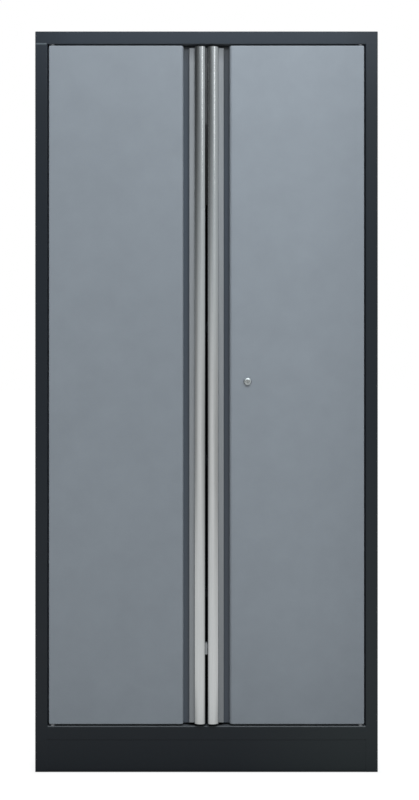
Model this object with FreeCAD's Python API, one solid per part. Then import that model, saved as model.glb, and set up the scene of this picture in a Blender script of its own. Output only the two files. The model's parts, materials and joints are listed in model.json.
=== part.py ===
import FreeCAD, Part
import math
import os

V = FreeCAD.Vector
os.makedirs("parts", exist_ok=True)

# ---------------------------------------------------------------------------
# Tall two-door steel storage cabinet.
# Millimetres, +Z up, the doors face -Y.  While it is drawn, y = 0 is the front
# plane of the frame (stiles, top rail, bottom rail) and +y runs to the back;
# every piece is shifted by -YC when it is written, so that the origin lies
# under the middle of the cabinet's box.
# ---------------------------------------------------------------------------

# overall
W = 916.0                 # width over the side panels
D = 457.0                 # depth of the carcass
H = 1980.0                # height, floor to top
HANDLE_PROUD = 10.0       # handles stand in front of the frame plane
SCREW_PROUD = 1.6         # rear screw heads stand behind the back plane
YC = (D + SCREW_PROUD - HANDLE_PROUD) / 2.0

# sheet metal
T = 1.2                   # carcass and door skin sheet
TB = 0.8                  # back panel sheet
TI = 0.8                  # door inner panel sheet
TS = 1.0                  # shelf sheet
RB = 0.8                  # inside bend radius
SHEET_Z0 = 2.0            # sheets end this far above the floor

# frame opening
STILE = 32.5              # visible stile width
JAMB = W / 2 - STILE      # inner face of the stile
STILE_DEEP = 31.0
CAP_H = 33.3              # height of the top rail
CAP_Z = H - CAP_H
RAIL_Z0, RAIL_Z1 = 86.0, 122.5     # bottom rail, its top is the cabinet floor
KICK_BACK = 1.0           # kick plate is set back this far
HEADER_LIP_Y = 27.0       # lip behind the top of the doors
HEADER_LIP_Z = 1932.0

# doors
DOOR_IN, DOOR_OUT = 3.0, 421.8     # |x| of free edge and hinge edge
DOOR_Z0, DOOR_Z1 = 127.2, 1942.3
DOOR_T = 24.0
CORNER_R, EDGE_R = 4.2, 3.2        # outer corners and rolled edges of the skin
GROOVE_R = 8.5            # softer roll of the skin into the finger groove
PANEL_IN = 61.6           # |x| where the grey panel turns into the finger groove
GROOVE_DEEP = 16.0
LIP_OUT = 46.1            # |x| of the tip of the handle's lip
PIV_X, PIV_Y, PIV_R = 412.0, 7.5, 4.0
WASHER_R = 5.8

# lock
LOCK_X, LOCK_Z = 109.8, 1044.0
BEZEL_R, BEZEL_MID, BEZEL_TOP = 10.7, 9.0, 6.4     # foot, shoulder and crown of the lock's bezel
BEZEL_H, BEZEL_SHOULDER = 6.4, 5.2                 # how far crown and shoulder stand proud
CAM_R = 12.0              # radius of the two cam studs
ROD_IN, ROD_OUT = 7.0, 19.0        # rod edges beside the lock axis
ROD_Y0, ROD_Y1 = 31.8, 34.8

# passive door bolt
BOLT_X0, BOLT_X1 = -45.0, -35.0
BOLT_Y0, BOLT_Y1 = 29.2, 34.2

# shelves
SHELF_TOPS = [482.5, 842.5, 1202.5, 1562.5]
SHELF_Y0, SHELF_Y1, SHELF_X = 52.0, 440.0, 440.0
SLOT_PITCH, SLOT_H = 40.0, 14.0
STD_WEB = 443.8           # |x| of the slotted web of a shelf standard
STD_Y = [70.0, 400.0]     # front edges of the standards
STD_W = 24.0

# levelling feet
FOOT_X, FOOT_Y = 415.0, [62.0, 415.0]
FOOT_R, STEM_R = 20.0, 5.0

# wall anchors
ANCHOR_X, ANCHOR_Z, ANCHOR_R = 300.0, 1900.0, 4.0


# ---------------------------------------------------------------------------
# helpers
# ---------------------------------------------------------------------------
def box(x0, x1, y0, y1, z0, z1):
    x0, x1 = min(x0, x1), max(x0, x1)
    return Part.makeBox(x1 - x0, y1 - y0, z1 - z0, V(x0, y0, z0))


def rod_z(x, y, z0, z1, r):
    return Part.makeCylinder(r, z1 - z0, V(x, y, z0), V(0, 0, 1))


def rod_y(x, z, y0, y1, r):
    return Part.makeCylinder(r, y1 - y0, V(x, y0, z), V(0, 1, 0))


def union(shapes):
    out = shapes[0]
    if len(shapes) > 1:
        out = out.fuse(shapes[1:])
    return out.removeSplitter()


def less(shape, tools):
    return shape.cut(tools)


def mirrored(shape):
    return shape.mirror(V(0, 0, 0), V(1, 0, 0))


def flat_poly(points):
    vs = [V(*p) for p in points]
    return Part.Face(Part.Wire(Part.makePolygon(vs + [vs[0]]).Edges))


def hex_prism(centre, across, axis, length):
    """Hexagonal prism, one pair of flats square to the first side direction."""
    r = across / math.sqrt(3.0)
    pts = []
    for k in range(6):
        a = math.radians(60.0 * k + 30.0)
        if axis == "z":
            pts.append((centre[0] + r * math.cos(a), centre[1] + r * math.sin(a), centre[2]))
        else:
            pts.append((centre[0] + r * math.cos(a), centre[1], centre[2] + r * math.sin(a)))
    d = V(0, 0, length) if axis == "z" else V(0, length, 0)
    return flat_poly(pts).extrude(d)


def bent(points, t, radii, side, plane, a0, a1):
    """Bent sheet of thickness t.

    points: the bend line of one face, in the plane's two coordinates.
    side: +1 when the metal lies to the left of the walk, -1 to the right.
    radii: inside bend radius, one number or one for each inner point.
    plane: "xy" is run along z from a0 to a1, "yz" along x.
    """
    n = len(points)
    if not isinstance(radii, (list, tuple)):
        radii = [radii] * (n - 2)
    d = []
    for i in range(n - 1):
        ux, uy = points[i + 1][0] - points[i][0], points[i + 1][1] - points[i][1]
        q = math.hypot(ux, uy)
        d.append((ux / q, uy / q))
    left = [(-b, a) for a, b in d]
    off = []
    for i in range(n):
        if i == 0:
            m = left[0]
        elif i == n - 1:
            m = left[-1]
        else:
            a, b = left[i - 1], left[i]
            s = 1.0 + a[0] * b[0] + a[1] * b[1]
            m = ((a[0] + b[0]) / s, (a[1] + b[1]) / s)
        off.append((points[i][0] + side * t * m[0], points[i][1] + side * t * m[1]))

    def chain(poly, outer):
        """Line and arc pieces along poly; outer picks which radius each bend has."""
        segs = []
        cur = poly[0]
        for i in range(1, n - 1):
            (ax, ay), (bx, by) = d[i - 1], d[i]
            cross = ax * by - ay * bx
            turn = 1.0 if cross > 0 else -1.0
            theta = math.acos(max(-1.0, min(1.0, ax * bx + ay * by)))
            inner_is_offset = (turn == side)
            r = radii[i - 1]
            if (not outer and inner_is_offset) or (outer and not inner_is_offset):
                r = r + t
            k = r * math.tan(theta / 2.0)
            p = poly[i]
            s = (p[0] - ax * k, p[1] - ay * k)
            e = (p[0] + bx * k, p[1] + by * k)
            nx, ny = -ay * turn, ax * turn
            c = (s[0] + nx * r, s[1] + ny * r)
            w = math.hypot(p[0] - c[0], p[1] - c[1])
            m = (c[0] + (p[0] - c[0]) * r / w, c[1] + (p[1] - c[1]) * r / w)
            segs.append(("L", cur, s))
            segs.append(("A", s, m, e))
            cur = e
        segs.append(("L", cur, poly[-1]))
        return segs

    ref = chain(points, False)
    opp = chain(off, True)

    def lift(p):
        return V(p[0], p[1], a0) if plane == "xy" else V(a0, p[0], p[1])

    edges = []
    for s in ref:
        if s[0] == "L":
            edges.append(Part.LineSegment(lift(s[1]), lift(s[2])).toShape())
        else:
            edges.append(Part.Arc(lift(s[1]), lift(s[2]), lift(s[3])).toShape())
    edges.append(Part.LineSegment(lift(points[-1]), lift(off[-1])).toShape())
    for s in reversed(opp):
        if s[0] == "L":
            edges.append(Part.LineSegment(lift(s[2]), lift(s[1])).toShape())
        else:
            edges.append(Part.Arc(lift(s[3]), lift(s[2]), lift(s[1])).toShape())
    edges.append(Part.LineSegment(lift(off[0]), lift(points[0])).toShape())
    face = Part.Face(Part.Wire(edges))
    run = V(0, 0, a1 - a0) if plane == "xy" else V(a1 - a0, 0, 0)
    return face.extrude(run)


def rounded(shape, r, pick):
    """Fillet the edges for which pick(edge) is true."""
    return shape.makeFillet(r, [e for e in shape.Edges if pick(e)])


def along(edge, axis):
    a, b = edge.Vertexes[0].Point, edge.Vertexes[-1].Point
    dv = b.sub(a)
    if dv.Length < 1e-6:
        return False
    return abs(abs(dv.dot(V(*axis))) - dv.Length) < 1e-6


def mid(edge):
    return edge.CenterOfMass


BOX = [1e9, 1e9, 1e9, -1e9, -1e9, -1e9]
COUNT = [0, 0]


def emit(name, shapes):
    """Write one node: one solid, or a group of separate solids."""
    solids = []
    for s in shapes:
        c = s.copy()
        c.translate(V(0, -YC, 0))
        solids += c.Solids
    for s in solids:
        if not s.isValid() or s.Volume <= 0:
            raise RuntimeError("bad solid in " + name)
        b = s.BoundBox
        for i, v in enumerate((b.XMin, b.YMin, b.ZMin)):
            BOX[i] = min(BOX[i], v)
        for i, v in enumerate((b.XMax, b.YMax, b.ZMax)):
            BOX[3 + i] = max(BOX[3 + i], v)
    out = solids[0] if len(solids) == 1 else Part.makeCompound(solids)
    out.exportStep("parts/%s.step" % name)
    COUNT[0] += 1
    COUNT[1] += len(solids)
    print("%-28s %2d solid(s)  %10.1f cm3" % (name, len(solids), sum(s.Volume for s in solids) / 1000.0))


HW = W / 2.0

# ---------------------------------------------------------------------------
# carcass
# ---------------------------------------------------------------------------
BACK_SCREW_Z = [150.0, 500.0, 850.0, 1200.0, 1550.0, 1900.0]
BACK_SCREW_X = HW - 11.0

# side panel: one sheet, folded at the front into a stile with a jamb and a
# return, and at the back into a narrow flange
side = bent([(-JAMB - 16.5, STILE_DEEP), (-JAMB, STILE_DEEP), (-JAMB, 0.0), (-HW, 0.0),
             (-HW, D), (-HW + 20.0, D)], T, RB, -1, "xy", SHEET_Z0, CAP_Z - 0.6)
side = union([side, box(-HW + 0.5, -HW + 20.0, 33.0, D - 1.4, CAP_Z - T, CAP_Z)])
side = less(side, [rod_y(-BACK_SCREW_X, z, D - 3.0, D + 1.0, 2.1) for z in BACK_SCREW_Z])
emit("left_side_panel", [side])
emit("right_side_panel", [mirrored(side)])

# top panel: a shallow cap whose front edge is the top rail
cap = box(-HW, HW, 0, D, CAP_Z, H)
cap = rounded(cap, 2.0, lambda e: along(e, (0, 0, 1)) or abs(mid(e).z - H) < 1e-6)
cap = less(cap, [box(-HW + T, HW - T, T, D - T, CAP_Z - 1, H - T)])
cap = union([cap,
             box(-HW + 0.9, -JAMB - 5.5, 0.9, D - 0.9, CAP_Z, CAP_Z + T),
             box(HW - 0.9, JAMB + 5.5, 0.9, D - 0.9, CAP_Z, CAP_Z + T),
             box(-HW + 0.9, HW - 0.9, D - 20.0, D - 0.9, CAP_Z, CAP_Z + T)])
emit("top_panel", [cap])

# header behind the top rail: closes the gap above the doors, stops them, and
# carries the upper hinge brackets
header = bent([(T + 0.05, CAP_Z), (HEADER_LIP_Y, CAP_Z), (HEADER_LIP_Y, HEADER_LIP_Z)],
              T, RB, 1, "yz", -JAMB + 0.3, JAMB - 0.3)
header = less(header, [rod_z(s * PIV_X, PIV_Y, CAP_Z - 2, CAP_Z + 4, PIV_R + 0.2) for s in (-1, 1)])
emit("door_header", [header])

# bottom panel: rail, cabinet floor and rear flange folded from one sheet
floor = bent([(25.0, RAIL_Z0), (0.0, RAIL_Z0), (0.0, RAIL_Z1), (D - 2.6, RAIL_Z1), (D - 2.6, 97.0)],
             T, [0.3, 1.6, 1.0], -1, "yz", -JAMB + 0.3, JAMB - 0.3)
ext = union([box(JAMB - 0.6, HW - 1.4, STILE_DEEP + 0.6, D - 5.0, RAIL_Z1 - T, RAIL_Z1),
             box(HW - 1.4 - T, HW - 1.4, STILE_DEEP + 0.6, D - 5.0, 97.0, RAIL_Z1)])
floor = union([floor, ext, mirrored(ext)])
floor = less(floor, [rod_z(s * PIV_X, PIV_Y, RAIL_Z1 - 4, RAIL_Z1 + 4, PIV_R + 0.2) for s in (-1, 1)]
             + [box(LOCK_X - ROD_OUT - 3.8, LOCK_X - ROD_IN + 3.2, 28.5, 38.5, RAIL_Z1 - 4, RAIL_Z1 + 4)])
emit("bottom_panel", [floor])

# kick plate under the rail, nearly flush between the stiles
kick = bent([(KICK_BACK + 22.0, SHEET_Z0), (KICK_BACK, SHEET_Z0), (KICK_BACK, RAIL_Z0), (KICK_BACK + 22.0, RAIL_Z0)],
            T, [RB, 0.3], -1, "yz", -JAMB + 0.3, JAMB - 0.3)
emit("kick_plate", [kick])

# rear base rail closes the base at the back
rear = bent([(435.0, SHEET_Z0), (D - T, SHEET_Z0), (D - T, 96.5), (435.0, 96.5)],
            T, RB, 1, "yz", -HW + 2.4, HW - 2.4)
emit("rear_base_rail", [rear])

# back panel with two pressed ribs, screwed from behind to the side flanges
yb = D - T
bp = [(-HW + 2.4, yb)]
for xr in (-150.0, 150.0):
    bp += [(xr - 18.0, yb), (xr - 10.0, yb - 6.8), (xr + 10.0, yb - 6.8), (xr + 18.0, yb)]
bp += [(HW - 2.4, yb)]
back = bent(bp, TB, 1.5, -1, "xy", 97.5, CAP_Z - 0.1)
back = less(back, [rod_y(s * BACK_SCREW_X, z, D - 6, D + 1, 2.1) for s in (-1, 1) for z in BACK_SCREW_Z]
            + [rod_y(s * ANCHOR_X, ANCHOR_Z, D - 6, D + 1, ANCHOR_R) for s in (-1, 1)]
            # the ribs stop above the floor's rear flange
            + [box(s * 130.0, s * 170.0, D - 14, D + 1, 90.0, RAIL_Z1 + 0.15) for s in (-1, 1)]
            # and its upper corners clear the side panels' top flanges
            + [box(s * (HW - 20.5), s * HW, D - 14, D + 1, CAP_Z - T - 0.4, CAP_Z + 1) for s in (-1, 1)])
# closed feet of the ribs
back = union([back] + [box(s * 131.0, s * 169.0, yb - 6.8, yb, RAIL_Z1 + 0.15, RAIL_Z1 + 0.95) for s in (-1, 1)])
emit("back_panel", [back])


def pan_screw(x, z):
    head = rod_y(x, z, D, D + SCREW_PROUD, 4.0)
    head = rounded(head, 0.9, lambda e: abs(mid(e).y - D - SCREW_PROUD) < 1e-6)
    s = union([head, rod_y(x, z, D - 7.0, D, 2.0)])
    return less(s, [box(x - 0.45, x + 0.45, D + 0.8, D + 3, z - 2.2, z + 2.2),
                    box(x - 2.2, x + 2.2, D + 0.8, D + 3, z - 0.45, z + 0.45)])


emit("back_panel_screws", [pan_screw(s * BACK_SCREW_X, z) for s in (-1, 1) for z in BACK_SCREW_Z])

# ---------------------------------------------------------------------------
# door pivots: brackets, pins and washers fixed to the carcass
# ---------------------------------------------------------------------------
BR_LO, BR_HI = 5.0, 5.0
lo_top = RAIL_Z1 - T
up_bot = CAP_Z + T
emit("lower_hinge_brackets", [less(box(s * 396.0, s * (JAMB - 0.8), 2.9, 26.0, lo_top - BR_LO, lo_top),
                                   [rod_z(s * PIV_X, PIV_Y, lo_top - 9, lo_top + 3, PIV_R + 0.02)]) for s in (-1, 1)])
emit("upper_hinge_brackets", [less(box(s * 396.0, s * (JAMB - 0.8), 2.4, 24.0, up_bot, up_bot + BR_HI),
                                   [rod_z(s * PIV_X, PIV_Y, up_bot - 3, up_bot + 9, PIV_R + 0.02)]) for s in (-1, 1)])
pins = []
for s in (-1, 1):
    a = union([rod_z(s * PIV_X, PIV_Y, lo_top - BR_LO - 4.0, lo_top - BR_LO, 5.4),
               rod_z(s * PIV_X, PIV_Y, lo_top - BR_LO, 148.0, PIV_R)])
    b = union([rod_z(s * PIV_X, PIV_Y, up_bot + BR_HI, up_bot + BR_HI + 4.0, 5.4),
               rod_z(s * PIV_X, PIV_Y, 1923.5, up_bot + BR_HI, PIV_R)])
    a = a.makeChamfer(0.6, [e for e in a.Edges if abs(mid(e).z - 148.0) < 1e-6])
    b = b.makeChamfer(0.6, [e for e in b.Edges if abs(mid(e).z - 1923.5) < 1e-6])
    pins += [a, b]
emit("hinge_pins", pins)
washers = []
for s in (-1, 1):
    for z0, z1 in ((RAIL_Z1, DOOR_Z0 - 0.4), (DOOR_Z1 + 0.4, CAP_Z)):
        w = rod_z(s * PIV_X, PIV_Y, z0, z1, WASHER_R)
        w = rounded(w, 0.5, lambda e: e.Closed)
        washers.append(less(w, [rod_z(s * PIV_X, PIV_Y, z0 - 1, z1 + 1, PIV_R + 0.1)]))
emit("hinge_washers", washers)

# ---------------------------------------------------------------------------
# shelf standards, shelves, clips
# ---------------------------------------------------------------------------
SLOT0 = SHELF_TOPS[0] - 11.0
slot_z = [SLOT0 + SLOT_PITCH * k for k in range(-6, 37)]


def standard(y0):
    s = bent([(HW - T - 0.1, y0), (STD_WEB, y0), (STD_WEB, y0 + STD_W), (HW - T - 0.1, y0 + STD_W)],
             T, RB, -1, "xy", 140.0, 1938.0)
    yc = y0 + STD_W / 2
    return less(s, [box(STD_WEB - 1, STD_WEB + 3, yc - 2.0, yc + 2.0, z, z + SLOT_H) for z in slot_z])


for tag, y0 in (("front", STD_Y[0]), ("rear", STD_Y[1])):
    st = standard(y0)
    emit("right_%s_shelf_standard" % tag, [st])
    emit("left_%s_shelf_standard" % tag, [mirrored(st)])

for k, zt in enumerate(SHELF_TOPS):
    sh = bent([(SHELF_Y0 + 18, zt - 28), (SHELF_Y0, zt - 28), (SHELF_Y0, zt), (SHELF_Y1, zt),
               (SHELF_Y1, zt - 28), (SHELF_Y1 - 18, zt - 28)], TS, 1.0, -1, "yz", -SHELF_X, SHELF_X)
    emit("shelf_%d" % (k + 1), [sh])

clips = []
for zt in SHELF_TOPS:
    for y0 in STD_Y:
        yc = y0 + STD_W / 2
        a = zt - TS
        pts = [(430.0, a), (447.6, a), (447.6, a - 14), (445.4, a - 14), (445.4, a - 8),
               (436.0, a - 8), (430.0, a - 3.5)]
        c = flat_poly([(x, yc - 1.5, z) for x, z in pts]).extrude(V(0, 3.0, 0))
        clips += [c, mirrored(c)]
emit("shelf_clips", clips)

# ---------------------------------------------------------------------------
# magnetic catches and rubber stops on the header
# ---------------------------------------------------------------------------
CATCH = (65.0, 105.0, 1914.0, HEADER_LIP_Z - 0.5)
house, magnets = [], []
for s in (-1, 1):
    h = union([box(s * CATCH[0], s * CATCH[1], 27.0, 44.0, CATCH[2], CATCH[3]),
               box(s * 70.0, s * 100.0, HEADER_LIP_Y + T, HEADER_LIP_Y + T + 3.0, CATCH[3] - 1, CAP_Z - 1.2)])
    pocket = box(s * 68.0, s * 102.0, 26.0, 38.0, 1918.0, 1927.0)
    house.append(less(h, [pocket]))
    magnets.append(pocket)
emit("magnetic_catch_housings", house)
emit("catch_magnets", magnets)
stops = []
for x in (-350.0, -150.0, 150.0, 350.0):
    p = rod_y(x, 1936.7, DOOR_T + 0.4, HEADER_LIP_Y, 4.5)
    stops.append(rounded(p, 0.7, lambda e: abs(mid(e).y - DOOR_T - 0.4) < 1e-6 and e.Closed))
emit("door_stop_buffers", stops)

# ---------------------------------------------------------------------------
# base: foot brackets, weld nuts, levelling feet
# ---------------------------------------------------------------------------
brackets, nuts = [], []
for s in (-1, 1):
    for y in FOOT_Y:
        b = union([box(s * 385.0, s * (HW - 1.4), y - 30, y + 30, 30.0, 33.0),
                   box(s * (HW - 4.4), s * (HW - 1.4), y - 30, y + 30, 30.0, 85.0)])
        brackets.append(less(b, [rod_z(s * FOOT_X, y, 25, 40, STEM_R + 0.08)]))
        nuts.append(less(hex_prism((s * FOOT_X, y, 33.0), 17.0, "z", 8.0),
                         [rod_z(s * FOOT_X, y, 30, 45, STEM_R + 0.05)]))
emit("foot_brackets", brackets)
emit("foot_weld_nuts", nuts)
for s, side_name in ((-1, "left"), (1, "right")):
    for tag, y in (("front", FOOT_Y[0]), ("rear", FOOT_Y[1])):
        pad = rod_z(s * FOOT_X, y, 0.0, 6.0, FOOT_R)
        pad = rounded(pad, 1.2, lambda e: e.Closed)
        cone = Part.makeCone(15.0, 9.0, 4.0, V(s * FOOT_X, y, 6.0), V(0, 0, 1))
        stem = rod_z(s * FOOT_X, y, 9.0, 75.0, STEM_R)
        stem = stem.makeChamfer(0.8, [e for e in stem.Edges if abs(mid(e).z - 75.0) < 1e-6])
        hx = hex_prism((s * FOOT_X, y, 9.8), 17.0, "z", 6.0)
        emit("%s_%s_levelling_foot" % (side_name, tag), [union([pad, cone, hx, stem])])

# ---------------------------------------------------------------------------
# doors (drawn as the right-hand one, mirrored for the left)
# ---------------------------------------------------------------------------
# outer skin: a grey pan with rolled edges; its inner edge turns back into the
# finger groove
skin = box(PANEL_IN, DOOR_OUT, 0, DOOR_T, DOOR_Z0, DOOR_Z1)
skin = rounded(skin, CORNER_R, lambda e: along(e, (0, 1, 0)) and mid(e).x > 300)
skin = rounded(skin, GROOVE_R, lambda e: along(e, (0, 0, 1)) and abs(mid(e).y) < 1e-6 and mid(e).x < 300)
skin = rounded(skin, EDGE_R, lambda e: (abs(mid(e).y) < 1e-6 and not (along(e, (0, 0, 1)) and mid(e).x < 300))
               or (mid(e).x < PANEL_IN + GROOVE_R and min(abs(mid(e).z - DOOR_Z0), abs(mid(e).z - DOOR_Z1)) < 1e-6))
hollow = box(PANEL_IN + T, DOOR_OUT - T, T, DOOR_T + 10, DOOR_Z0 + T, DOOR_Z1 - T)
hollow = rounded(hollow, CORNER_R - T, lambda e: along(e, (0, 1, 0)) and mid(e).x > 300)
hollow = rounded(hollow, GROOVE_R - T, lambda e: along(e, (0, 0, 1)) and abs(mid(e).y - T) < 1e-6 and mid(e).x < 300)
hollow = rounded(hollow, EDGE_R - T, lambda e: (abs(mid(e).y - T) < 1e-6 and not (along(e, (0, 0, 1)) and mid(e).x < 300))
                 or (mid(e).x < PANEL_IN + GROOVE_R and min(abs(mid(e).z - DOOR_Z0 - T), abs(mid(e).z - DOOR_Z1 + T)) < 1e-6))
skin = less(skin, [hollow, box(PANEL_IN - 1, PANEL_IN + T + 1.4, GROOVE_DEEP, DOOR_T + 1, DOOR_Z0 - 1, DOOR_Z1 + 1),
                   rod_z(PIV_X, PIV_Y, DOOR_Z0 - 2, DOOR_Z0 + 4, PIV_R + 1.0),
                   rod_z(PIV_X, PIV_Y, DOOR_Z1 - 4, DOOR_Z1 + 2, PIV_R + 1.0)])
right_skin = less(skin, [rod_y(LOCK_X, LOCK_Z, -2, 4, 8.6)])
emit("right_door_skin", [right_skin])
emit("left_door_skin", [mirrored(skin)])

# finger channel: dark folded strip behind the handle, floor of the groove
cz0, cz1 = DOOR_Z0 + 1.3, DOOR_Z1 - 1.3
yi = DOOR_T - TI
HS_X, HS_Z = 16.5, [160.0, 595.0, 1035.75, 1476.0, 1911.0]
chan = union([box(DOOR_IN, 80.0, GROOVE_DEEP, GROOVE_DEEP + T, cz0, cz1),
              box(DOOR_IN, PANEL_IN - 0.2, GROOVE_DEEP, GROOVE_DEEP + T, DOOR_Z0 + 0.2, DOOR_Z1 - 0.2),
              box(DOOR_IN, DOOR_IN + T, GROOVE_DEEP, yi, cz0, cz1),
              box(DOOR_IN, 80.0, GROOVE_DEEP, yi, cz0, cz0 + T),
              box(DOOR_IN, 80.0, GROOVE_DEEP, yi, cz1 - T, cz1)])
chan = less(chan, [rod_y(HS_X, z, GROOVE_DEEP - 2, GROOVE_DEEP + 3, 2.1) for z in HS_Z])
emit("right_finger_channel", [chan])
emit("left_finger_channel", [mirrored(chan)])

# inner panel closes the back of the door
inner = box(DOOR_IN, DOOR_OUT - T - 0.1, yi, DOOR_T, cz0, cz1)
inner = rounded(inner, CORNER_R - 0.8, lambda e: along(e, (0, 1, 0)) and mid(e).x > 300)
inner = less(inner, [rod_y(HS_X, z, yi - 2, DOOR_T + 2, 2.1) for z in HS_Z])
right_inner = less(inner, [rod_y(LOCK_X, LOCK_Z, yi - 2, DOOR_T + 2, 8.6)])
emit("right_door_inner_panel", [right_inner])
emit("left_door_inner_panel", [mirrored(inner)])

# hat-section stiffener between skin and inner panel
hat = bent([(214.0, T + 0.05), (228.0, T + 0.05), (231.0, yi - 1.1), (249.0, yi - 1.1), (252.0, T + 0.05),
            (266.0, T + 0.05)], 1.0, 0.8, 1, "xy", 140.0, 1931.0)
emit("right_door_stiffener", [hat])
emit("left_door_stiffener", [mirrored(hat)])

# handle: a hollow bar with a crowned front and rounded edges, and beside it a
# lip that hangs over the finger groove.  The lip is keyed into a slot in the
# side of the bar, with a small valley along the joint.
BAR_X, BAR_HALF = 17.7, 14.1       # centre and half width of the bar
CROWN_R, BAR_EDGE_R, BAR_WALL = 20.0, 3.0, 2.0
CROWN_SHIFT = 1.3                  # the crown's top lies this far towards the slot between the doors
BAR_IN, BAR_OUT = BAR_X - BAR_HALF, BAR_X + BAR_HALF
HZ0, HZ1 = DOOR_Z0 + 3.7, DOOR_Z1 - 4.7
LIP_LOW, LIP_HIGH = 1.0, 2.0       # the lip ends this far from the ends of the bar
LIP_Y, LIP_T = 3.0, 2.2            # front face and thickness of the lip
lip_y0, lip_y1 = LIP_Y, LIP_Y + LIP_T
lip_y2 = lip_y1 + 1.8              # where the tip's hook turns round


def wire_run(segs, z):
    es = []
    for s in segs:
        if len(s) == 2:
            es.append(Part.LineSegment(V(s[0][0], s[0][1], z), V(s[1][0], s[1][1], z)).toShape())
        else:
            es.append(Part.Arc(V(s[0][0], s[0][1], z), V(s[1][0], s[1][1], z), V(s[2][0], s[2][1], z)).toShape())
    return Part.Wire(es)


def crown_run(inset):
    """Section of the bar: crowned front, rounded edges, straight sides, flat back."""
    xc, yc = BAR_X - CROWN_SHIFT, CROWN_R - HANDLE_PROUD      # centre of the crown
    big, small = CROWN_R - inset, BAR_EDGE_R - inset
    back = GROOVE_DEEP - inset

    def flank(s):
        """Where back, side, edge rounding and crown meet, on the lip's side (1) or the slot's (-1)."""
        ex = BAR_HALF - BAR_EDGE_R + s * CROWN_SHIFT          # centre of the edge rounding
        ey = yc - math.sqrt((CROWN_R - BAR_EDGE_R) ** 2 - ex ** 2)
        a = math.atan2(ex, yc - ey)                           # tilt where crown and edge meet
        b = (a + math.pi / 2.0) / 2.0
        x = BAR_X + s * (BAR_HALF - inset)
        return ((x, back), (x, ey), (xc + s * (ex + small * math.sin(b)), ey - small * math.cos(b)),
                (xc + s * big * math.sin(a), yc - big * math.cos(a)))

    i0, i1, i2, i3 = flank(-1)
    o0, o1, o2, o3 = flank(1)
    return [(i0, i1), (i1, i2, i3), (i3, (xc, yc - big), o3), (o3, o2, o1), (o1, o0), (o0, i0)]


k45 = math.sqrt(0.5)
bar = Part.Face(wire_run(crown_run(0.0), HZ0)).extrude(V(0, 0, HZ1 - HZ0))
bar = less(bar, [Part.Face(wire_run(crown_run(BAR_WALL), HZ0 - 5)).extrude(V(0, 0, HZ1 - HZ0 + 10)),
                 box(BAR_OUT - 1.4, BAR_OUT + 1.0, lip_y0 + 0.8, lip_y0 + 2.0, HZ0 - 5, HZ1 + 5)]
           + [rod_y(HS_X, z, 12, GROOVE_DEEP + 1, 2.05) for z in HS_Z])
emit("right_handle_bar", [bar])
emit("left_handle_bar", [mirrored(bar)])

tip = 1.1
lip = [
    ((BAR_OUT, lip_y0), (LIP_OUT - tip, lip_y0)),
    ((LIP_OUT - tip, lip_y0), (LIP_OUT - tip + tip * k45, lip_y0 + tip - tip * k45), (LIP_OUT, lip_y0 + tip)),
    ((LIP_OUT, lip_y0 + tip), (LIP_OUT, lip_y2)),
    ((LIP_OUT, lip_y2), (LIP_OUT - 1.1, lip_y2 + 1.1), (LIP_OUT - 2.2, lip_y2)),
    ((LIP_OUT - 2.2, lip_y2), (LIP_OUT - 2.2, lip_y1 + 1.0)),
    ((LIP_OUT - 2.2, lip_y1 + 1.0), (LIP_OUT - 3.2 + k45, lip_y1 + 1.0 - k45), (LIP_OUT - 3.2, lip_y1)),
    ((LIP_OUT - 3.2, lip_y1), (BAR_OUT, lip_y1)),
    ((BAR_OUT, lip_y1), (BAR_OUT, lip_y0)),
]
lz0, lz1 = HZ0 + LIP_LOW, HZ1 - LIP_HIGH
lip = Part.Face(wire_run(lip, lz0)).extrude(V(0, 0, lz1 - lz0))
lip = less(lip, [rod_z(BAR_OUT + 0.5, lip_y0, HZ0, HZ1, 0.5)])
lip = union([lip, box(BAR_OUT - 1.36, BAR_OUT + 0.4, lip_y0 + 0.86, lip_y0 + 1.94, lz0, lz1)])
emit("right_handle_lip", [lip])
emit("left_handle_lip", [mirrored(lip)])


def handle_screw(z):
    head = rod_y(HS_X, z, DOOR_T, DOOR_T + 2.0, 3.8)
    head = rounded(head, 1.0, lambda e: abs(mid(e).y - DOOR_T - 2.0) < 1e-6)
    s = union([head, rod_y(HS_X, z, 9.0, DOOR_T, 2.0)])
    return less(s, [box(HS_X - 0.45, HS_X + 0.45, DOOR_T + 1.0, DOOR_T + 4, z - 2.2, z + 2.2),
                    box(HS_X - 2.2, HS_X + 2.2, DOOR_T + 1.0, DOOR_T + 4, z - 0.45, z + 0.45)])


screws = [handle_screw(z) for z in HS_Z]
emit("right_handle_screws", screws)
emit("left_handle_screws", [mirrored(s) for s in screws])

# nylon pivot blocks in the hinge-side corners
blocks = [less(box(397.0, 418.3, 2.6, yi, 130.6, 157.0), [rod_z(PIV_X, PIV_Y, 125.0, 149.0, PIV_R + 0.05)]),
          less(box(397.0, 418.3, 2.6, yi, 1914.5, DOOR_Z1 - 2.6), [rod_z(PIV_X, PIV_Y, 1922.5, 1946.0, PIV_R + 0.05)])]
emit("right_pivot_blocks", blocks)
emit("left_pivot_blocks", [mirrored(b) for b in blocks])

# strike plates for the magnetic catches
strike = box(67.0, 103.0, DOOR_T, DOOR_T + 1.5, 1916.0, 1929.0)
strike = rounded(strike, 3.0, lambda e: along(e, (0, 1, 0)))
emit("right_strike_plate", [strike])
emit("left_strike_plate", [mirrored(strike)])

# buffers on the free edge of the left handle, in the slot between the doors: a
# short grey block low down and a long strip at the top
bufs = []
for z0, z1, y0 in ((315.0, 345.0, -2.0), (1515.0, 1935.0, 1.5)):
    b = box(-BAR_IN, BAR_IN - 1.2, y0, 15.0, z0, z1)
    bufs.append(rounded(b, 1.5, lambda e: along(e, (0, 1, 0)) and mid(e).x > 0))
emit("left_door_buffers", bufs)

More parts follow.
